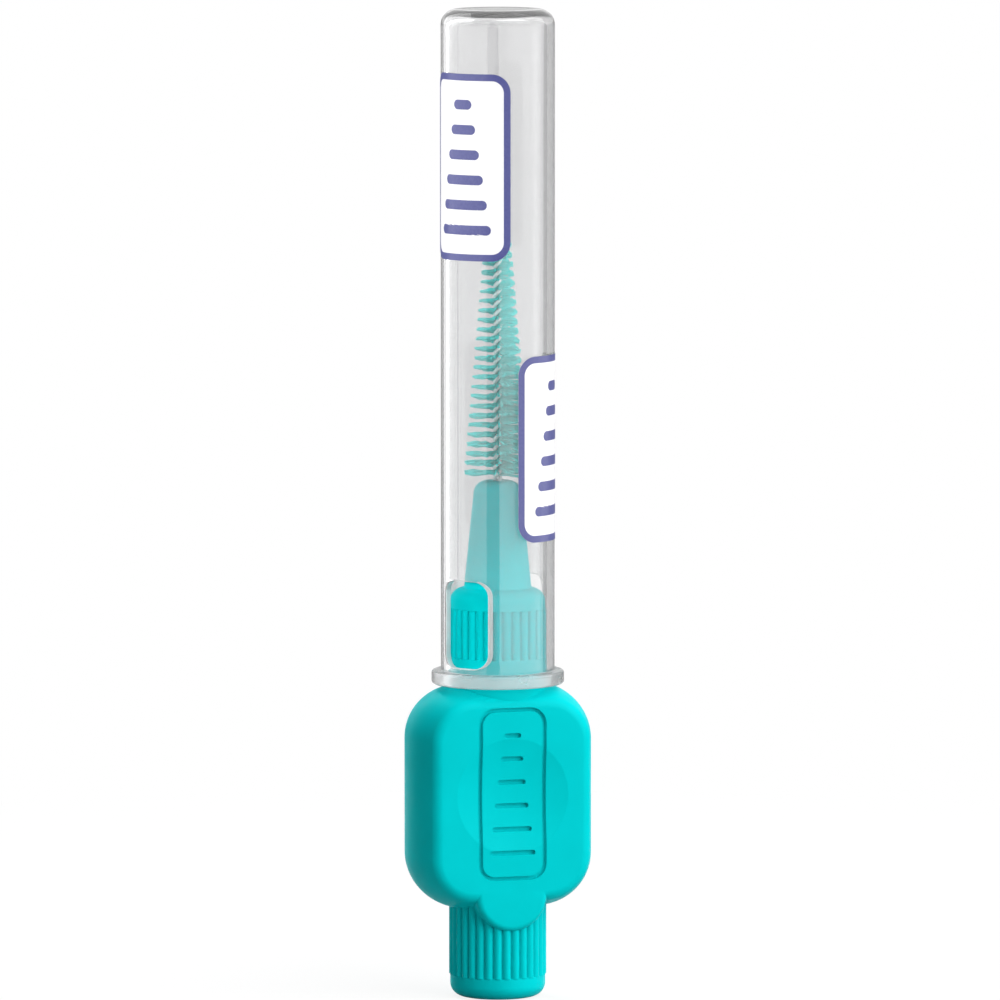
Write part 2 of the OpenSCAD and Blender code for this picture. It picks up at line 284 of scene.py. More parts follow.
def ring_faces(first, second, count):
    """Quads between two closed rings of count points."""
    return [
        (first + i, first + (i + 1) % count, second + (i + 1) % count, second + i)
        for i in range(count)
    ]


def fan_faces(centre, ring, count):
    """Triangles between a point and a closed ring."""
    return [(centre, ring + i, ring + (i + 1) % count) for i in range(count)]


def skin(rings):
    """Points and faces of a closed skin over rings of equally many points. One point closes an end."""
    points, faces, starts = [], [], []
    for ring in rings:
        starts.append(len(points))
        points.extend(ring)
    for i in range(len(rings) - 1):
        a, b = len(rings[i]), len(rings[i + 1])
        if a == 1:
            faces += fan_faces(starts[i], starts[i + 1], b)
        elif b == 1:
            faces += fan_faces(starts[i + 1], starts[i], a)
        else:
            faces += ring_faces(starts[i], starts[i + 1], a)
    return points, faces


def merge(parts):
    """One set of points and faces from several."""
    points, faces = [], []
    for part_points, part_faces in parts:
        faces += [tuple(i + len(points) for i in face) for face in part_faces]
        points += part_points
    return points, faces


def full_turn(count):
    """Angles of count points round a circle."""
    return np.linspace(0, 2 * math.pi, count + 1)[:-1]


def arc(centre_r, centre_z, r, start, end, steps):
    """Points (radius, height) along a round edge; angles in degrees from the outward direction."""
    return [
        (centre_r + r * math.cos(math.radians(a)), centre_z + r * math.sin(math.radians(a)))
        for a in np.linspace(start, end, steps + 1)
    ]


def round_ring(r, z, angles):
    """Points at these angles of a level circle about the long axis."""
    return [(r * math.cos(a), r * math.sin(a), z) for a in angles]


def rounded_rect_at(angle, half_w, half_h, r):
    """Point of a rounded rectangle's outline in the direction angle from its middle."""
    c, s = math.cos(angle), math.sin(angle)
    reach = min(half_w / max(abs(c), TINY), half_h / max(abs(s), TINY))
    x, y = reach * c, reach * s
    if abs(x) > half_w - r and abs(y) > half_h - r:
        corner = np.array([math.copysign(half_w - r, c), math.copysign(half_h - r, s)])
        along = corner @ (c, s)
        reach = along + math.sqrt(max(along * along - corner @ corner + r * r, 0))
        x, y = reach * c, reach * s
    return x, y


def rounded_rect_outline(half_w, half_h, r, per_corner, per_side):
    """Points round a rounded rectangle: arcs at the corners, and even steps along the sides."""
    corners = [(1, 1), (-1, 1), (-1, -1), (1, -1)]

    def on_corner(i, a):
        x, y = corners[i % 4]
        return x * (half_w - r) + r * math.cos(a), y * (half_h - r) + r * math.sin(a)

    points = []
    for i in range(4):
        start = i * math.pi / 2
        end = start + math.pi / 2
        points += [on_corner(i, a) for a in np.linspace(start, end, per_corner + 1)]
        (x, y), (goal_x, goal_y) = points[-1], on_corner(i + 1, end)
        for k in range(1, per_side):
            points.append((x + (goal_x - x) * k / per_side, y + (goal_y - y) * k / per_side))
    return np.array(points)


def bar_rows(short, long, pitch):
    """Length and height of each bar, from the shortest at the top to the longest at the bottom."""
    lengths = np.linspace(short, long, BAR_COUNT)
    return [(length, (i - (BAR_COUNT - 1) / 2) * -pitch) for i, length in enumerate(lengths)]


# Handle


def dish_height(r):
    """How far the face lies below the grip's flat at a distance r from the middle of the dish."""
    if r >= DISH_R:
        return 0.0
    ball_r = (DISH_R * DISH_R + DISH_DEPTH * DISH_DEPTH) / (2 * DISH_DEPTH)
    return math.sqrt(ball_r * ball_r - r * r) - (ball_r - DISH_DEPTH)


def grip_outline(inset):
    """The grip's outline, seen from the front, this far inside its widest one."""
    size = GRIP_W / 2 - inset, GRIP_H / 2 - inset, GRIP_CORNER_R - inset
    return rounded_rect_outline(*size, GRIP_CORNER_STEPS, GRIP_SIDE_STEPS)


def grip_profile():
    """Half section of the grip's side from a face to the bulge's crest: inset, and depth below the face."""
    edge = [
        (FACE_INSET - GRIP_EDGE_R * math.sin(a), GRIP_EDGE_R * (1 - math.cos(a)))
        for a in np.linspace(0, math.pi / 2 - GRIP_LEAN, EDGE_STEPS + 1)
    ]
    bulge = [
        (BULGE_R * (1 - math.cos(a)), GRIP_T / 2 - BULGE_R * math.sin(a))
        for a in np.linspace(GRIP_LEAN, 0, BULGE_STEPS + 1)
    ]
    return edge[1:] + bulge[1:]


def grip_rings():
    """Rings from the middle of the front face, round the grip's edge, to the middle of the back face."""
    inner = grip_outline(FACE_INSET)
    middle = np.array([0, DISH_RISE])
    angles = np.arctan2(*(inner - middle).T[::-1])
    circle = np.stack([np.cos(angles), np.sin(angles)], 1)
    lip = [DISH_R - DISH_LIP, DISH_R, DISH_R + DISH_LIP]
    radii = [*np.linspace(DISH_START_R, DISH_R - 2 * DISH_LIP, DISH_RINGS), *lip]
    half = [(middle + circle * r, dish_height(r)) for r in radii]
    start = half[-1][0]
    half += [(start + (inner - start) * share, 0.0) for share in FACE_SHARES]
    half += [(grip_outline(inset), depth) for inset, depth in grip_profile()]
    front = [[(x, -GRIP_T / 2 + depth, GRIP_Z + z) for x, z in ring] for ring, depth in half]
    back = [[(x, GRIP_T / 2 - depth, GRIP_Z + z) for x, z in ring] for ring, depth in reversed(half[:-1])]
    face_y = GRIP_T / 2 - dish_height(0)
    ends = [[(0, side * face_y, GRIP_Z + DISH_RISE)] for side in (-1, 1)]
    return [ends[0], *front, *back, ends[1]]


def tongue_rings():
    """A disc along Y whose lower half laps over the stub."""
    centre = TONGUE_R - TONGUE_EDGE_R, GRIP_T / 2 - TONGUE_EDGE_R
    edge = arc(*centre, TONGUE_EDGE_R, 0, 90, TONGUE_EDGE_STEPS)
    profile = [(r, -y) for r, y in reversed(edge)] + edge
    angles = full_turn(TONGUE_SIDES)
    rings = [[(r * math.cos(a), y, TONGUE_Z + r * math.sin(a)) for a in angles] for r, y in profile]
    return [[(0, -GRIP_T / 2, TONGUE_Z)]] + rings + [[(0, GRIP_T / 2, TONGUE_Z)]]


def rib_outline():
    """Angles and radii round a ribbed length: round backs, with narrow grooves between them."""
    pitch = 360 / RIB_COUNT
    offsets = [-pitch / 2, *(-a for a in reversed(RIB_STEPS)), 0, *RIB_STEPS]
    centre = RIB_CREST_R - RIB_BACK_R
    angles, radii = [], []
    for i in range(RIB_COUNT):
        for offset in offsets:
            a = math.radians(offset)
            under = max(RIB_BACK_R**2 - (centre * math.sin(a)) ** 2, 0)
            angles.append(math.radians((i + 0.5) * pitch) + a)
            radii.append(max(centre * math.cos(a) + math.sqrt(under), RIB_FLOOR_R))
    return np.array(angles), np.array(radii)


def spindle_rings():
    """The round parts of the handle about the long axis, from the stub's end to the hole for the wire."""
    angles, ribs = rib_outline()
    plain = np.ones(len(angles))
    low_edge = arc(BAND_R - BAND_EDGE_R, BAND_EDGE_R, BAND_EDGE_R, -90, 0, ROUND_STEPS)
    high_edge = arc(BAND_R - BAND_EDGE_R, SEAT_TOP - BAND_EDGE_R, BAND_EDGE_R, 0, 90, ROUND_STEPS)
    tip = arc(NECK_TOP_R - NECK_EDGE_R, NECK_TOP - NECK_EDGE_R, NECK_EDGE_R, 4, 90, ROUND_STEPS)
    fillet = arc(NECK_FOOT_R + NECK_FILLET, SEAT_TOP + NECK_FILLET, -NECK_FILLET, 90, 6, FILLET_STEPS)
    neck_z = np.linspace(SEAT_TOP + 2 * NECK_FILLET, NECK_TOP - NECK_EDGE_R, NECK_RINGS)
    neck = [
        (NECK_FOOT_R + (NECK_TOP_R - NECK_FOOT_R) * (z - SEAT_TOP) / (neck_z[-1] - SEAT_TOP), z)
        for z in neck_z
    ]
    steps = [
        *((r * plain, z) for r, z in [(BAND_R / 3, 0), *low_edge, (BAND_R, STUB_BAND_TOP - RIB_END)]),
        (ribs, STUB_BAND_TOP),
        *((ribs, z) for z in np.linspace(STUB_BAND_TOP, GRIP_BOTTOM + BURIED_DEPTH, 5)[1:]),
        (BURIED_R * plain, GRIP_BOTTOM + BURIED_DEPTH),
        (BURIED_R * plain, GRIP_TOP - BURIED_DEPTH),
        (COLLAR_R * plain, GRIP_TOP - BURIED_DEPTH),
        (COLLAR_R * plain, SEAT_COLLAR_TOP - RIB_END),
        (ribs, SEAT_COLLAR_TOP),
        (ribs, SEAT_BAND_FOOT),
        (BAND_R * plain, SEAT_BAND_FOOT + RIB_END),
        *((r * plain, z) for r, z in [*high_edge, *fillet, *neck, *tip]),
        (WIRE_HOLE_R * plain, NECK_TOP),
        (WIRE_HOLE_R * plain, NECK_TOP - WIRE_HOLE_DEPTH),
    ]
    rings = [[(r * math.cos(a), r * math.sin(a), z) for r, a in zip(radii, angles)] for radii, z in steps]
    return [[(0, 0, 0)]] + rings + [[(0, 0, NECK_TOP - WIRE_HOLE_DEPTH)]]


def groove(path, half_widths, side, closed):
    """A cutter along a path of (x, z) on a face of the grip. Its floor follows the dish."""
    path = np.array(path) + (0, BADGE_RISE)
    if closed:
        tangent = np.roll(path, -1, 0) - np.roll(path, 1, 0)
    else:
        tangent = np.gradient(path, axis=0)
    tangent /= np.linalg.norm(tangent, axis=1)[:, None]
    across = np.stack([-tangent[:, 1], tangent[:, 0]], 1)
    rings = []
    for point, normal, half in zip(path, across, half_widths):
        face = GRIP_T / 2 - dish_height(np.linalg.norm(point - (0, DISH_RISE)))
        floor = face - BADGE_DEPTH
        lid = GRIP_T / 2 + BADGE_DEPTH
        narrow = max(half - BADGE_DRAFT, half / 4)
        section = [(-half, lid), (-half, face), (-narrow, floor), (narrow, floor), (half, face), (half, lid)]
        rings.append([
            (point[0] + n * normal[0], side * y, GRIP_Z + point[1] + n * normal[1]) for n, y in section
        ])
    count = len(rings[0])
    if closed:
        points, faces = skin(rings + [rings[0]])
        last = len(rings) * count
        return points[:last], [tuple(i % last for i in face) for face in faces]
    points, faces = skin(rings)
    end = len(points) - count
    return points, faces + [tuple(range(count)), tuple(range(end, end + count))]


def bar_path(length, z):
    """Places along a bar with round ends, and its half width at each."""
    half = length / 2
    ends = BAR_HALF_T * (1 - np.cos(np.linspace(BAR_TIP_ANGLE, math.pi / 2, BAR_TIP_PLACES)))
    straight = np.linspace(-half + BAR_HALF_T, half - BAR_HALF_T, BAR_PLACES)[1:-1]
    x = np.concatenate([-half + ends, straight, half - ends[::-1]])
    inside = np.minimum(x + half, half - x)
    widths = np.where(
        inside < BAR_HALF_T, np.sqrt(np.maximum(inside * (2 * BAR_HALF_T - inside), 0)), BAR_HALF_T
    )
    return [(a, z) for a in x], widths


def badge_cutter(side):
    """Every groove of the badge on one face, as one mesh."""
    half_line = BADGE_LINE_W / 2
    size = BADGE_HALF_W - half_line, BADGE_HALF_H - half_line, BADGE_CORNER_R
    frame_path = rounded_rect_outline(*size, BADGE_CORNER_STEPS, BADGE_SIDE_STEPS)
    parts = [groove(frame_path, np.full(len(frame_path), half_line), side, True)]
    for length, z in bar_rows(BAR_SHORT, BAR_LONG, BAR_PITCH):
        parts.append(groove(*bar_path(length, z), side, False))
    return merge(parts)


def make_handle(material):
    """The grip, joined with its tongue, stub, seat and neck, and engraved on both faces."""
    handle = new_piece("handle_moulding", *skin(grip_rings()), "brush", "handle_plastic", material)
    for rings in (tongue_rings(), spindle_rings()):
        use_boolean(handle, new_piece("addition", *skin(rings), None, None, material), "UNION")
    for side in (-1, 1):
        use_boolean(handle, new_piece("cutter", *badge_cutter(side), None, None, material), "DIFFERENCE")
    sharpen(handle, HANDLE_SHARP)
    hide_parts("handle")
    return handle


def sharpen(piece, degrees):
    """Marks edges that turn by more than this as sharp, and weights the rest of the normals by area."""
    piece.data.set_sharp_from_angle(angle=math.radians(degrees))
    step = piece.modifiers.new("normals", "WEIGHTED_NORMAL")
    step.keep_sharp = True


# Wire


def twist_angle(z):
    """Direction of the filaments at a height, as the wire's twist turns them."""
    return HEAD_TURN + 2 * math.pi * (z - HEAD_LOW[2]) / TWIST_LEAD


def wire_frames():
    """Centre and two cross directions at each step: up one leg, over the fold and down the other leg."""
    fold_z = WIRE_HIGH[2] - LEG_OFFSET - COAT_R
    steps = math.ceil((fold_z - WIRE_LOW[2]) / TWIST_LEAD * WIRE_STEPS)
    heights = np.linspace(WIRE_LOW[2] + COAT_R, fold_z, steps + 1)
    fold_turn = twist_angle(fold_z) + math.pi / 2
    flat = np.array([math.cos(fold_turn), math.sin(fold_turn), 0])

    def leg(z, side):
        a = twist_angle(z) + math.pi / 2
        out = side * np.array([math.cos(a), math.sin(a), 0])
        along = np.array([
            -side * math.sin(a) * LEG_OFFSET, side * math.cos(a) * LEG_OFFSET, TWIST_LEAD / (2 * math.pi)
        ])
        across = side * np.cross(along / np.linalg.norm(along), out)
        return LEG_OFFSET * out + (0, 0, z), out, across

    def fold(angle):
        out = math.cos(angle) * flat + (0, 0, math.sin(angle))
        return LEG_OFFSET * out + (0, 0, fold_z), out, np.cross((0, 0, 1), flat)

    over = [fold(a) for a in np.linspace(0, math.pi, FOLD_STEPS + 1)[1:-1]]
    return [leg(z, 1) for z in heights] + over + [leg(z, -1) for z in heights[::-1]]


def make_wire(name, node, slot, r, material):
    """A tube of radius r along the folded and twisted wire, in place of a CAD node."""
    rings = []
    for centre, out, across in wire_frames():
        rings.append([
            tuple(centre + r * (math.cos(a) * out + math.sin(a) * across))
            for a in full_turn(WIRE_SIDES)
        ])
    middle_first = tuple(np.mean(rings[0], 0))
    middle_last = tuple(np.mean(rings[-1], 0))
    wire = new_piece(name, *skin([[middle_first], *rings, [middle_last]]), "brush", slot, material)
    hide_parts(node)
    return wire


# Filaments


def head_reach(z):
    """Radius of the head's cone at a height."""
    share = (z - HEAD_LOW[2]) / (HEAD_HIGH[2] - HEAD_LOW[2])
    return HEAD_FOOT_R + (HEAD_TOP_R - HEAD_FOOT_R) * share


def filament(z, angle, tilt, bow, lift, reach, side):
    """One half of a filament: a thin tube from the wire outwards, with a slight bow and a pointed tip."""
    tilt += side * COMB_RISE * math.cos(angle - COMB_TURN)
    out = np.array([math.cos(angle), math.sin(angle), 0]) * side
    across = np.array([-math.sin(angle), math.cos(angle), 0]) * side
    rings = []
    for i in range(FILAMENT_RINGS):
        share = i / (FILAMENT_RINGS - 1)
        height = z + tilt * reach * share + lift * math.sin(math.pi * share * share)
        centre = out * (reach * share) + across * (bow * share * share) + (0, 0, height)
        rings.append([
            tuple(centre + FILAMENT_R * (math.cos(a) * across + math.sin(a) * np.array([0, 0, 1])))
            for a in full_turn(FILAMENT_SIDES)
        ])
    tip = out * (reach + FILAMENT_R / 2) + across * bow + (0, 0, z + tilt * reach)
    return [*rings, [tuple(tip)]]


def make_bristles(material):
    """Pairs of filaments up the wire, each pair turned by the twist and a little by chance."""
    chance = np.random.default_rng(SEED)
    foot = tuple(range(FILAMENT_SIDES))
    parts = []
    for z in np.linspace(HEAD_LOW[2] - FILAMENT_R, HEAD_HIGH[2], FILAMENTS):
        angle = twist_angle(z) + chance.uniform(-TURN_SPREAD, TURN_SPREAD)
        for side in (1, -1):
            tilt = chance.normal(0, SLOPE_SPREAD)
            bow = chance.normal(0, BOW_SPREAD)
            reach = head_reach(z) * chance.uniform(LEAST_REACH, 1)
            lift = head_reach(z) * SPREAD_SHARE * chance.uniform(-1, 1)
            points, faces = skin(filament(z, angle, tilt, bow, lift, reach, side))
            parts.append((points, [*faces, foot]))
    bristles = new_piece("bristle_head", *merge(parts), "brush", "filament", material)
    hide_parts("bristles")
    return bristles


# Cap


def tube_profile():
    """Half outlines (radius, height) of the cap, and the rows of the band that holds its windows."""
    low = WINDOW_Z - WINDOW_H / 2 - PATCH_MARGIN
    high = WINDOW_Z + WINDOW_H / 2 + PATCH_MARGIN
    rows = np.linspace(low, high, PATCH_ROWS + 1)
    top = CAP_HIGH[2]
    mouth = CAP_LOW[2]
    wall_steps = np.linspace(high, top - CAP_EDGE_R, WALL_RINGS)[1:-1]
    outer_top = [
        *((r, top) for r in (1, 2)),
        *arc(TUBE_R - CAP_EDGE_R, top - CAP_EDGE_R, CAP_EDGE_R, 90, 0, CAP_EDGE_STEPS),
        *((TUBE_R, z) for z in reversed(wall_steps)),
    ]
    edge_r = FLANGE_R - FLANGE_EDGE_R
    flange = [
        (TUBE_R, FLANGE_TOP + FLANGE_FILLET),
        (TUBE_R + FLANGE_FILLET / 3, FLANGE_TOP + FLANGE_FILLET / 3),
        (TUBE_R + FLANGE_FILLET, FLANGE_TOP),
        *arc(edge_r, FLANGE_TOP - FLANGE_EDGE_R, FLANGE_EDGE_R, 90, 0, FLANGE_EDGE_STEPS),
        *arc(edge_r, mouth + FLANGE_EDGE_R, FLANGE_EDGE_R, 0, -90, FLANGE_EDGE_STEPS),
        *arc(BORE_R + MOUTH_CHAMFER, mouth + MOUTH_CHAMFER, -MOUTH_CHAMFER, 90, 0, CHAMFER_STEPS),
    ]
    inner_z = top - CAP_END_T
    centre = BORE_R - CAP_INNER_EDGE_R, inner_z - CAP_INNER_EDGE_R
    inner_top = [
        *((BORE_R, z) for z in np.linspace(high, centre[1], WALL_RINGS)[1:-1]),
        *arc(*centre, CAP_INNER_EDGE_R, 0, 90, CAP_INNER_EDGE_STEPS),
        *((r, inner_z) for r in (2, 1)),
    ]
    return outer_top, rows, flange, inner_top


def window_point(angle, grow, radius):
    """Turn from the window's middle, and height, of a point of its outline grown by grow, on a cylinder."""
    x, z = rounded_rect_at(angle, WINDOW_W / 2 + grow, WINDOW_H / 2 + grow, WINDOW_CORNER_R + grow)
    return math.asin(x / radius), WINDOW_Z + z


def make_cap(material, rim_material):
    """Both faces of the cap's wall from the closed end down and up again, with its windows let in."""
    outer_top, rows, flange, inner_top = tube_profile()
    turns = WINDOW_TURN + np.arange(TUBE_COLUMNS) * 2 * math.pi / TUBE_COLUMNS
    points, faces = [(0, 0, CAP_HIGH[2])], []

    def add_ring(r, z):
        points.extend(round_ring(r, z, turns))
        return len(points) - TUBE_COLUMNS

    outer_rows = [(TUBE_R, z) for z in rows[::-1]]
    inner_rows = [(BORE_R, z) for z in rows]
    profile = outer_top + outer_rows + flange + inner_rows + inner_top
    starts = [add_ring(r, z) for r, z in profile]
    points.append((0, 0, CAP_HIGH[2] - CAP_END_T))
    faces += fan_faces(0, starts[0], TUBE_COLUMNS)
    faces += fan_faces(len(points) - 1, starts[-1], TUBE_COLUMNS)

    outer_first = len(outer_top)
    inner_first = outer_first + len(outer_rows) + len(flange)
    half_turn = TUBE_COLUMNS // 2

    def in_window(column):
        return any((column - c + PATCH_COLUMNS) % TUBE_COLUMNS < 2 * PATCH_COLUMNS for c in (0, half_turn))

    for i in range(len(starts) - 1):
        windowed = any(first <= i < first + PATCH_ROWS for first in (outer_first, inner_first))
        ring = ring_faces(starts[i], starts[i + 1], TUBE_COLUMNS)
        faces += [face for column, face in enumerate(ring) if not (windowed and in_window(column))]

    outer_starts = starts[outer_first : outer_first + PATCH_ROWS + 1][::-1]
    inner_starts = starts[inner_first : inner_first + PATCH_ROWS + 1]
    for centre in (0, half_turn):
        add_window(points, faces, outer_starts, inner_starts, centre, rows)
    cap = new_piece("cap_shell", points, faces, "cap", "clear_plastic", material)
    mark_rims(cap, rim_material)
    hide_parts("cap")
    return cap


def mark_rims(cap, rim_material):
    """Gives the faces that line the windows a material of their own."""
    cap.data.materials.append(rim_material)
    for face in cap.data.polygons:
        x, y, z = face.center / MM
        in_wall = BORE_R + RIM_SKIN < math.hypot(x, y) < TUBE_R - RIM_SKIN
        face.material_index = int(in_wall and abs(z - WINDOW_Z) < WINDOW_H / 2 + WINDOW_EDGE_R)


def patch_path():
    """Column and row of the points round a window's patch, from its lower left corner and back to it."""
    return (
        [(c, 0) for c in range(-PATCH_COLUMNS, PATCH_COLUMNS)]
        + [(PATCH_COLUMNS, r) for r in range(PATCH_ROWS)]
        + [(c, PATCH_ROWS) for c in range(PATCH_COLUMNS, -PATCH_COLUMNS, -1)]
        + [(-PATCH_COLUMNS, r) for r in range(PATCH_ROWS, 0, -1)]
    )


def patch_border(row_starts, centre):
    """Numbers of the wall's points round the gap that is left for a window."""
    return [row_starts[row] + (centre + column) % TUBE_COLUMNS for column, row in patch_path()]


def add_window(points, faces, outer_starts, inner_starts, centre, rows):
    """Fills the patch round a window on both faces of the wall, and lines the window with a rounded rim."""
    middle = WINDOW_TURN + centre * 2 * math.pi / TUBE_COLUMNS
    column = 2 * math.pi / TUBE_COLUMNS
    border = [(c * column, rows[r]) for c, r in patch_path()]
    angles = [math.atan2(z - WINDOW_Z, turn * TUBE_R) for turn, z in border]
    count = len(border)

    def place(turn, z, radius):
        return (radius * math.cos(middle + turn), radius * math.sin(middle + turn), z)

    def add(ring):
        points.extend(ring)
        return len(points) - count

    def patch_rings(radius):
        edge = [window_point(a, WINDOW_EDGE_R, radius) for a in angles]
        pairs = list(zip(edge, border))
        return [
            [place(t + (s - t) * share, z + (h - z) * share, radius) for (t, z), (s, h) in pairs]
            for share in PATCH_SHARES
        ]

    def rim_ring(grow, radius):
        return [place(*window_point(a, grow, radius), radius) for a in angles]

    rim = [
        (WINDOW_EDGE_R * (1 - math.sin(a)), WINDOW_EDGE_R * (1 - math.cos(a)))
        for a in np.linspace(0, math.pi / 2, RIM_STEPS + 1)[1:]
    ]
    rings = patch_rings(TUBE_R)
    rings += [rim_ring(grow, TUBE_R - depth) for grow, depth in rim]
    rings += [rim_ring(grow, BORE_R + depth) for grow, depth in reversed(rim)]
    rings += reversed(patch_rings(BORE_R))
    starts = [add(ring) for ring in rings]
    for a, b in zip(starts, starts[1:]):
        faces.extend(ring_faces(a, b, count))
    for row_starts, start in ((outer_starts, starts[0]), (inner_starts, starts[-1])):
        wall = patch_border(row_starts, centre)
        for i in range(count):
            k = (i + 1) % count
            faces.append((wall[i], wall[k], start + k, start + i))


# Printed panels


def label_shell(rings, turn, z_middle, r_low, r_high):
    """A thin shell on the tube over rings of (arc length, height). A ring of one point is its middle."""

    def on_tube(ring, r):
        return [
            (r * math.cos(turn + s / TUBE_R), r * math.sin(turn + s / TUBE_R), z_middle + z) for s, z in ring
        ]

    top = [on_tube(ring, r_high) for ring in rings]
    under = [on_tube(ring, r_low) for ring in reversed(rings)]
    if len(rings[0]) > 1:
        under.append(top[0])
    return skin(top + under)


def scaled_rings(outline, shares):
    """The middle point of an outline, and smaller copies of it out to its full size."""
    return [[(0.0, 0.0)]] + [[tuple(p * share) for p in outline] for share in shares]


def bar_rings(length, half_t, z):
    """Rings of one printed bar with round ends."""
    outline = rounded_rect_outline(length / 2, half_t, half_t * BAR_ROUNDING, BAR_END_STEPS, BAR_SIDE_STEPS)
    return [[(s, h + z) for s, h in ring] for ring in scaled_rings(outline, BAR_SHARES)]


def panel_outline(half_h, inset):
    """A panel's outline, this far inside its edge."""
    size = PANEL_HALF_W - inset, half_h - inset, PANEL_CORNER_R - inset
    return rounded_rect_outline(*size, PANEL_CORNER_STEPS, PANEL_SIDE_STEPS)


def make_panel(node, white, ink):
    """A white ground in place of a CAD panel, and on it a frame and bars of rising length."""
    low, high = node_box(node)
    half_h = (high[2] - low[2]) / 2
    z = (high[2] + low[2]) / 2
    turn = PANEL_TURNS[node]
    outline = panel_outline(half_h, 0)
    inner = panel_outline(half_h, KEYLINE_W)
    ground = label_shell(scaled_rings(outline, GROUND_SHARES), turn, z, TUBE_R, TUBE_R + INK_T)
    panel = new_piece(node + "_ground", *ground, "cap", "white_ink", white)
    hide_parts(node)

    line_radii = TUBE_R + INK_T - LINE_T / 2, TUBE_R + INK_T + LINE_T
    drawn = [[[tuple(a + (b - a) * share) for a, b in zip(inner, outline)] for share in KEYLINE_SHARES]]
    for length, height in bar_rows(PANEL_BAR_SHORT, PANEL_BAR_LONG, PANEL_BAR_PITCH):
        drawn.append(bar_rings(length, PANEL_BAR_HALF_T, height))
    parts = [label_shell(rings, turn, z, *line_radii) for rings in drawn]
    lines = new_piece(node + "_lines", *merge(parts), "cap", "white_ink", ink)
    for piece in (panel, lines):
        sharpen(piece, PANEL_SHARP)
    return panel, lines


# Materials

# Linear colours: each pair is the range that a material's noise runs through
HANDLE_TINTS = ((0.0, 0.600, 0.628), (0.0, 0.640, 0.668))
CAP_TINTS = ((0.765, 0.765, 0.77), (0.785, 0.785, 0.79))
RIM_TINTS = ((0.82, 0.82, 0.82), (0.9, 0.9, 0.9))
FILAMENT_TINTS = ((0.01, 0.64, 0.61), (0.02, 0.74, 0.71))
COAT_TINTS = ((0.84, 0.86, 0.86), (0.9, 0.91, 0.91))
STEEL_TINTS = ((0.52, 0.53, 0.54), (0.66, 0.67, 0.67))
WHITE_TINTS = ((0.88, 0.88, 0.89), (0.93, 0.93, 0.94))
VIOLET_TINTS = ((0.070, 0.076, 0.250), (0.088, 0.094, 0.275))
# Painted shade: the clear wall's colour darkens to this one where the wall is seen edge on, between these
# values of Facing, standing in for the tube's dark edges
PAINTED_LIMB_SHADE = (0.5, 0.5, 0.505, 1)
LIMB_FROM = 0.34
LIMB_TO = 0.5
CLEAR_IOR = 1.52
# Most of a noise texture lies between these values
NOISE_LOW = 0.3
NOISE_HIGH = 0.7


def set_values(node, values):
    """Sets sockets by their names, in which _ stands for a space."""
    for name, value in values.items():
        node.inputs[name.replace("_", " ")].default_value = value


def new_material(name, **values):
    """A material, its node tree, and its Principled shader with these values on its sockets."""
    material = bpy.data.materials.new(name)
    material.use_nodes = True
    shader = material.node_tree.nodes["Principled BSDF"]
    set_values(shader, values)
    return material, material.node_tree, shader


def add_node(tree, kind, **values):
    """A new node with these values on its sockets."""
    node = tree.nodes.new(kind)
    set_values(node, values)
    return node


def noise(tree, scale, detail=2.0, stretch=None):
    """Noise in object space; scale is in features per metre."""
    place = tree.nodes.new("ShaderNodeTexCoord")
    node = add_node(tree, "ShaderNodeTexNoise", Scale=scale, Detail=detail)
    source = place.outputs["Object"]
    if stretch:
        mapping = add_node(tree, "ShaderNodeMapping", Scale=stretch)
        tree.links.new(source, mapping.inputs["Vector"])
        source = mapping.outputs["Vector"]
    tree.links.new(source, node.inputs["Vector"])
    return node.outputs["Fac"]


def map_range(tree, source, from_min, from_max, to_min, to_max, smooth=False):
    """Maps one range of a number onto another, and holds it at both ends."""
    node = tree.nodes.new("ShaderNodeMapRange")
    names = ("From Min", "From Max", "To Min", "To Max")
    for name, value in zip(names, (from_min, from_max, to_min, to_max)):
        node.inputs[name].default_value = value
    if smooth:
        node.interpolation_type = "SMOOTHSTEP"
    tree.links.new(source, node.inputs["Value"])
    return node.outputs["Result"]


def spread(tree, source, low, high):
    """Maps noise onto the range from low to high."""
    return map_range(tree, source, NOISE_LOW, NOISE_HIGH, low, high)


def tint(tree, source, colours):
    """A colour that noise moves between two colours."""
    node = tree.nodes.new("ShaderNodeValToRGB")
    for element, place, colour in zip(node.color_ramp.elements, (NOISE_LOW, NOISE_HIGH), colours):
        element.position = place
        element.color = (*colour, 1)
    tree.links.new(source, node.inputs["Fac"])
    return node.outputs["Color"]


def calculate(tree, operation, *values):
    """A Math node over sockets and numbers."""
    node = tree.nodes.new("ShaderNodeMath")
    node.operation = operation
    for i, value in enumerate(values):
        if isinstance(value, (int, float)):
            node.inputs[i].default_value = value
        else:
            tree.links.new(value, node.inputs[i])
    return node.outputs[0]


def bump(tree, shader, source, strength, height):
    """Fine relief from a number; height is in metres."""
    node = add_node(tree, "ShaderNodeBump", Strength=strength, Distance=height)
    tree.links.new(source, node.inputs["Height"])
    tree.links.new(node.outputs["Normal"], shader.inputs["Normal"])


def set_looks(tree, shader, colour, roughness):
    """Links a colour and a roughness to a shader."""
    tree.links.new(colour, shader.inputs["Base Color"])
    tree.links.new(roughness, shader.inputs["Roughness"])


def mix_shaders(tree, share, first, second, output):
    """Shows the first shader where share is 0, and the second where it is 1."""
    mix = tree.nodes.new("ShaderNodeMixShader")
    for source, socket in zip((share, first.outputs[0], second.outputs[0]), mix.inputs):
        tree.links.new(source, socket)
    tree.links.new(mix.outputs[0], output.inputs["Surface"])


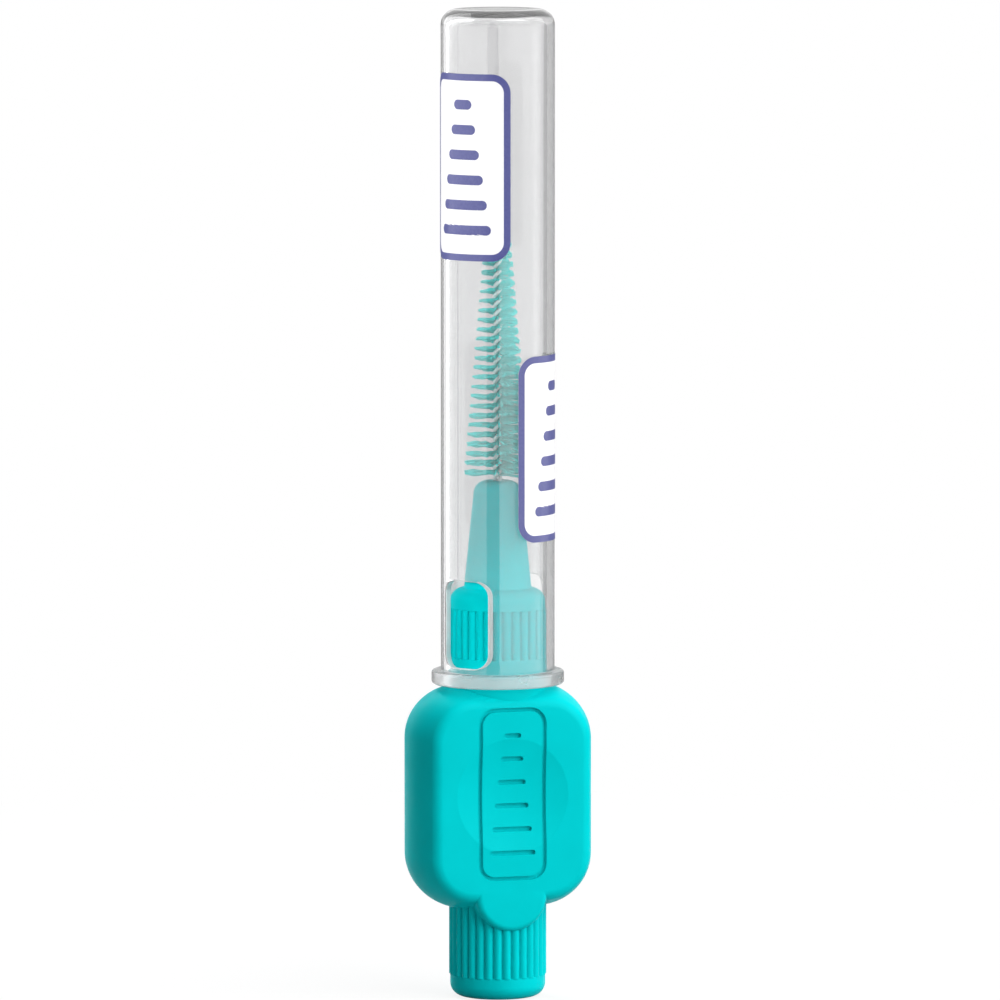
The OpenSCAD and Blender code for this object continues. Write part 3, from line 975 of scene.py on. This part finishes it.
def height_of(tree, space):
    """Height of the point that is shaded, in one of the Texture Coordinate node's spaces."""
    place = tree.nodes.new("ShaderNodeTexCoord")
    parts = tree.nodes.new("ShaderNodeSeparateXYZ")
    tree.links.new(place.outputs[space], parts.inputs["Vector"])
    return parts.outputs["Z"]


def height_share(tree, low, high, at_low, at_high):
    """A number that runs from at_low to at_high between two heights of the object, in millimetres."""
    return map_range(tree, height_of(tree, "Object"), low * MM, high * MM, at_low, at_high)


def handle_plastic():
    """Turquoise polypropylene with a satin, finely grained moulded face."""
    material, tree, shader = new_material("turquoise_plastic", Specular_IOR_Level=0.02)
    colour = tint(tree, noise(tree, 260, 3), HANDLE_TINTS)
    set_looks(tree, shader, colour, spread(tree, noise(tree, 900, 4), 0.34, 0.46))
    bump(tree, shader, noise(tree, 9000, 2), 0.12, 0.00001)
    return material


def clear_plastic():
    """Clear styrene with a faint haze. Shadow rays pass through it, dimmed."""
    material, tree, shader = new_material("clear_plastic", IOR=CLEAR_IOR)
    clearness = height_share(tree, FLANGE_TOP - FLANGE_FADE, FLANGE_TOP, FLANGE_CLEARNESS, TUBE_CLEARNESS)
    tree.links.new(clearness, shader.inputs["Transmission Weight"])
    set_looks(tree, shader, plastic_colour_with_painted_limb_shade(tree), flange_haze(tree))
    bump(tree, shader, noise(tree, 160, 2), 0.01, 0.0001)
    open_side = add_node(tree, "ShaderNodeBsdfTransparent", Color=CAP_SHADE)
    path = tree.nodes.new("ShaderNodeLightPath")
    mix_shaders(tree, path.outputs["Is Shadow Ray"], shader, open_side, tree.nodes["Material Output"])
    return material


def plastic_colour_with_painted_limb_shade(tree):
    """Colour of the clear plastic, with painted shade that greys it where the wall is seen edge on, but not
    over its closed end.
    """
    facing = add_node(tree, "ShaderNodeLayerWeight", Blend=0.5)
    limb = map_range(tree, facing.outputs["Facing"], LIMB_FROM, LIMB_TO, 0, 1, smooth=True)
    wall = height_share(tree, CAP_HIGH[2] - CAP_EDGE_R, CAP_HIGH[2] - CAP_EDGE_R / 2, 1, 0)
    mix = tree.nodes.new("ShaderNodeMix")
    mix.data_type = "RGBA"
    tree.links.new(calculate(tree, "MULTIPLY", limb, wall), mix.inputs[0])
    tree.links.new(tint(tree, noise(tree, 180, 2), CAP_TINTS), mix.inputs[6])
    # Painted shade: the darker colour that the edge-on wall is given
    mix.inputs[7].default_value = PAINTED_LIMB_SHADE
    return mix.outputs[2]


def flange_haze(tree):
    """Roughness of the cap: nearly none on the tube, more on the flange, whose faces are less polished."""
    haze = height_share(tree, FLANGE_TOP, FLANGE_TOP + FLANGE_FADE, FLANGE_HAZE, 0)
    return calculate(tree, "ADD", haze, spread(tree, noise(tree, 700, 3), 0.0, 0.03))


def cut_rim():
    """The rims of the cap's windows, which are duller and paler than its wall."""
    material, tree, shader = new_material("cut_rim", IOR=CLEAR_IOR, Transmission_Weight=0.35)
    colour = tint(tree, noise(tree, 700, 3), RIM_TINTS)
    set_looks(tree, shader, colour, spread(tree, noise(tree, 1500, 2), 0.3, 0.45))
    return material


def filament_nylon():
    """Drawn nylon, with small shifts of tint along the head."""
    material, tree, shader = new_material("filament_nylon", Specular_IOR_Level=0.1, IOR=1.3)
    colour = tint(tree, noise(tree, 3500, 2), FILAMENT_TINTS)
    set_looks(tree, shader, colour, spread(tree, noise(tree, 1200, 2), 0.28, 0.42))
    return material


def wire_coat():
    """Smooth pale coat on the wire."""
    material, tree, shader = new_material("wire_coat")
    colour = tint(tree, noise(tree, 2400, 3), COAT_TINTS)
    set_looks(tree, shader, colour, spread(tree, noise(tree, 5000, 2), 0.2, 0.32))
    return material


def wire_steel():
    """Drawn stainless wire with fine marks along it."""
    material, tree, shader = new_material("wire_steel", Metallic=1)
    marks = noise(tree, 6000, 3, stretch=(1, 1, 0.1))
    set_looks(tree, shader, tint(tree, marks, STEEL_TINTS), spread(tree, marks, 0.22, 0.4))
    return material


def printed_ink(name, colours):
    """Screen-printed ink: nearly even, with a faint grain."""
    material, tree, shader = new_material(name, Specular_IOR_Level=0.4)
    colour = tint(tree, noise(tree, 5200, 3), colours)
    set_looks(tree, shader, colour, spread(tree, noise(tree, 1500, 3), 0.28, 0.4))
    bump(tree, shader, noise(tree, 12000, 2), 0.1, 0.000005)
    return material


# Studio

# Brightness of the surroundings: what lights the object, and what its gloss mirrors
AMBIENT = 0.08
MIRRORED = 0.22
# Heights of the direction, as a share of its length, between which mirrored surroundings turn white
HORIZON = (0.02, 0.08)
LAMP_DISTANCE = 950
SNOOT_DISTANCE = 400
SNOOT_LENS_R = 2
SNOOT_BLEND = 0.6
FLOOR_R = 150
FLOOR_SIDES = 96
FLOOR_SHARES = (0.1, 0.3, 0.6, 1)
# Out to this radius the floor goes from paper that shows the shadow to plain white
FLOOR_FADE_R = 120
FLOOR_WHITE_SHARE = 0.85
# The paper's own grey, and the darker one that bounces light up at the object
PAPER_SEEN = 0.9
PAPER_BOUNCE = 0.3
WHITE = (1, 1, 1, 1)

# Camera: angles in degrees, and the width in millimetres that it takes in at its aim
CAMERA_AZIMUTH = -17
CAMERA_ELEVATION = 5.6
CAMERA_DISTANCE = 800
SENSOR_W = 36
CLIP_START = 0.05
CLIP_END = 20
FRAME_SIZE = 74.2
# The camera aims at this height, and this far to the right of the long axis
AIM_Z = 37.05
AIM_SIDE = 0.17


def background_share(tree, mirrored):
    """1 for rays from the camera or through glass, mirrored for mirrored ones, and 0 for lighting ones."""
    path = tree.nodes.new("ShaderNodeLightPath")
    seen = calculate(tree, "MAXIMUM", path.outputs["Is Camera Ray"], path.outputs["Is Transmission Ray"])
    gloss = calculate(tree, "MULTIPLY", path.outputs["Is Glossy Ray"], mirrored)
    either = calculate(tree, "MAXIMUM", seen, gloss)
    lights_object = calculate(tree, "MINIMUM", path.outputs["Diffuse Depth"], 1)
    return calculate(tree, "MULTIPLY", either, calculate(tree, "SUBTRACT", 1, lights_object))


def make_world():
    """White where it is seen, dimmer where it is mirrored from below, and a weak even light on the object."""
    world = bpy.data.worlds.new("studio")
    world.use_nodes = True
    tree = world.node_tree
    tree.nodes.clear()
    mirrored = map_range(tree, height_of(tree, "Generated"), *HORIZON, MIRRORED, 1)
    lighting = add_node(tree, "ShaderNodeBackground", Color=WHITE, Strength=AMBIENT)
    seen = add_node(tree, "ShaderNodeBackground", Color=WHITE, Strength=1)
    output = tree.nodes.new("ShaderNodeOutputWorld")
    mix_shaders(tree, background_share(tree, mirrored), lighting, seen, output)
    bpy.context.scene.world = world


def floor_paper():
    """White paper that keeps a soft shadow near the object. It bounces little light up at it."""
    material = bpy.data.materials.new("floor_paper")
    material.use_nodes = True
    tree = material.node_tree
    tree.nodes.clear()
    place = tree.nodes.new("ShaderNodeTexCoord")
    distance = tree.nodes.new("ShaderNodeVectorMath")
    distance.operation = "LENGTH"
    tree.links.new(place.outputs["Object"], distance.inputs[0])
    fade = map_range(tree, distance.outputs["Value"], 0, FLOOR_FADE_R * MM, FLOOR_WHITE_SHARE, 1)
    share = calculate(tree, "MULTIPLY", background_share(tree, MIRRORED), fade)

    path = tree.nodes.new("ShaderNodeLightPath")
    grey = map_range(tree, path.outputs["Is Diffuse Ray"], 0, 1, PAPER_SEEN, PAPER_BOUNCE)
    paper = tree.nodes.new("ShaderNodeBsdfDiffuse")
    tree.links.new(grey, paper.inputs["Color"])
    white = add_node(tree, "ShaderNodeEmission", Color=WHITE, Strength=1)
    mix_shaders(tree, share, paper, white, tree.nodes.new("ShaderNodeOutputMaterial"))
    return material


def make_floor():
    """A round sheet of paper under the object, too large for its edge to show."""
    angles = full_turn(FLOOR_SIDES)
    rings = [round_ring(share * FLOOR_R, 0, angles) for share in FLOOR_SHARES]
    floor = new_piece("floor", *skin([[(0, 0, 0)], *rings]), None, None, floor_paper())
    return floor


def direction(azimuth, elevation):
    """Unit vector from the object at these angles in degrees: azimuth 0 is its front, and 90 its right."""
    a, e = math.radians(azimuth), math.radians(elevation)
    return np.array([math.sin(a) * math.cos(e), -math.cos(a) * math.cos(e), math.sin(e)])


def make_softbox(name, azimuths, elevations, radiance, lit=(), gloss=True, shaded_by=()):
    """A flat soft box that fills these azimuths and elevations, as the object sees them.

    It lights the pieces in lit, or all, and throws the shadows of those in shaded_by, or of all.
    """
    azimuth, half_turn = sum(azimuths) / 2, (azimuths[1] - azimuths[0]) / 2
    elevation, half_rise = sum(elevations) / 2, (elevations[1] - elevations[0]) / 2
    light = bpy.data.lights.new(name, "AREA")
    light.shape = "RECTANGLE"
    light.size = 2 * LAMP_DISTANCE * math.tan(math.radians(half_turn)) * MM
    light.size_y = 2 * LAMP_DISTANCE * math.tan(math.radians(half_rise)) * MM
    light.energy = math.pi * radiance * light.size * light.size_y
    lamp = add_lamp(name, light, azimuth, elevation, CAP_HIGH[2] / 2, LAMP_DISTANCE)
    lamp.visible_glossy = gloss
    if lit:
        lamp.light_linking.receiver_collection = piece_group(name + "_lit", lit)
    if shaded_by:
        lamp.light_linking.blocker_collection = piece_group(name + "_shade", shaded_by)


def make_snoot(name, azimuth, elevation, z, radius, irradiance, lit):
    """A narrow soft-edged spot that lights these pieces within a radius round a height on the long axis."""
    light = bpy.data.lights.new(name, "SPOT")
    light.spot_size = 2 * math.atan(radius / SNOOT_DISTANCE)
    light.spot_blend = SNOOT_BLEND
    light.shadow_soft_size = SNOOT_LENS_R * MM
    light.energy = irradiance * 4 * math.pi * (SNOOT_DISTANCE * MM) ** 2
    lamp = add_lamp(name, light, azimuth, elevation, z, SNOOT_DISTANCE)
    lamp.visible_glossy = False
    lamp.light_linking.receiver_collection = piece_group(name + "_lit", lit)


def add_lamp(name, light, azimuth, elevation, z, distance):
    """Puts a light at these angles and this distance from a height on the long axis, facing it."""
    lamp = bpy.data.objects.new(name, light)
    bpy.context.scene.collection.objects.link(lamp)
    way = direction(azimuth, elevation)
    place_looking(lamp, np.array([0, 0, z]) + way * distance, -way)
    return lamp


def piece_group(name, pieces):
    """A collection of these pieces, for a lamp's links."""
    group = bpy.data.collections.new(name)
    for piece in pieces:
        group.objects.link(piece)
    return group


def place_looking(thing, place, way):
    """Puts a camera or a lamp at a place in millimetres, looking this way."""
    thing.location = Vector(place) * MM
    thing.rotation_mode = "QUATERNION"
    thing.rotation_quaternion = Vector(way).to_track_quat("-Z", "Y")


def make_camera():
    """A long lens at the photograph's viewing angle."""
    lens = bpy.data.cameras.new("camera")
    lens.sensor_width = SENSOR_W
    lens.lens = SENSOR_W * CAMERA_DISTANCE / FRAME_SIZE
    lens.clip_start = CLIP_START
    lens.clip_end = CLIP_END
    camera = bpy.data.objects.new("camera", lens)
    bpy.context.scene.collection.objects.link(camera)
    way = direction(CAMERA_AZIMUTH, CAMERA_ELEVATION)
    right = np.cross(-way, (0, 0, 1))
    aim = np.array([0, 0, AIM_Z]) + right / np.linalg.norm(right) * AIM_SIDE
    place_looking(camera, aim + way * CAMERA_DISTANCE, -way)
    bpy.context.scene.camera = camera


def make_lamps(cap, prints, head, solids):
    """Soft boxes for the solids, the brush head, the cap and the prints, and a spot on the seat.

    Each has the azimuths and elevations that it fills, and its radiance. The prints cast no shadow from the
    key and the head's boxes, because the photograph shows none.
    """
    level, raised = (-14, 46), (-20, 60)
    unprinted = [*solids, cap]
    make_softbox("key", (8, 72), (0, 60), 3.5, solids, shaded_by=unprinted)
    make_softbox("fill", (-118, -38), level, 0.25, solids)
    make_softbox("rim_left", (-178, -156), raised, 6.5, solids, gloss=False)
    make_softbox("rim_right", (115, 150), raised, 0.7, solids, gloss=False)
    make_softbox("top", (5, 75), (50, 100), 0.85)
    make_snoot("seat_light", -45, 12, z=SEAT_TOP - WINDOW_H / 2, radius=6, irradiance=1.6, lit=solids)
    make_softbox("head_left", (-118, -38), level, 3, head, shaded_by=unprinted)
    make_softbox("head_front", (-30, 50), level, 2.2, head, shaded_by=unprinted)
    make_softbox("cap_sheet", (-17, 92), (-14, 56), 1.7, [cap])
    make_softbox("cap_fill", (-105, -38), level, 1.4, [cap])
    make_softbox("cap_gleam", (-160, -105), raised, 2.2, [cap])
    make_softbox("print_left", (-135, -35), level, 2.6, prints)
    make_softbox("print_right", (5, 105), level, 2.6, prints)


def build():
    """The camera first, then the pieces, the floor and the lamps."""
    make_camera()
    handle = make_handle(handle_plastic())
    head = [
        make_wire("wire_steel_core", "core_wire", "wire_steel", STEEL_R, wire_steel()),
        make_wire("wire_outer_coat", "wire_coating", "wire_coat", COAT_R, wire_coat()),
        make_bristles(filament_nylon()),
    ]
    cap = make_cap(clear_plastic(), cut_rim())
    white = printed_ink("white_ink", WHITE_TINTS)
    violet = printed_ink("violet_ink", VIOLET_TINTS)
    prints = [piece for node in PANEL_TURNS for piece in make_panel(node, white, violet)]
    make_world()
    make_lamps(cap, prints, head, [handle, *head, make_floor()])
    bpy.context.scene.view_settings.view_transform = "Standard"


build()
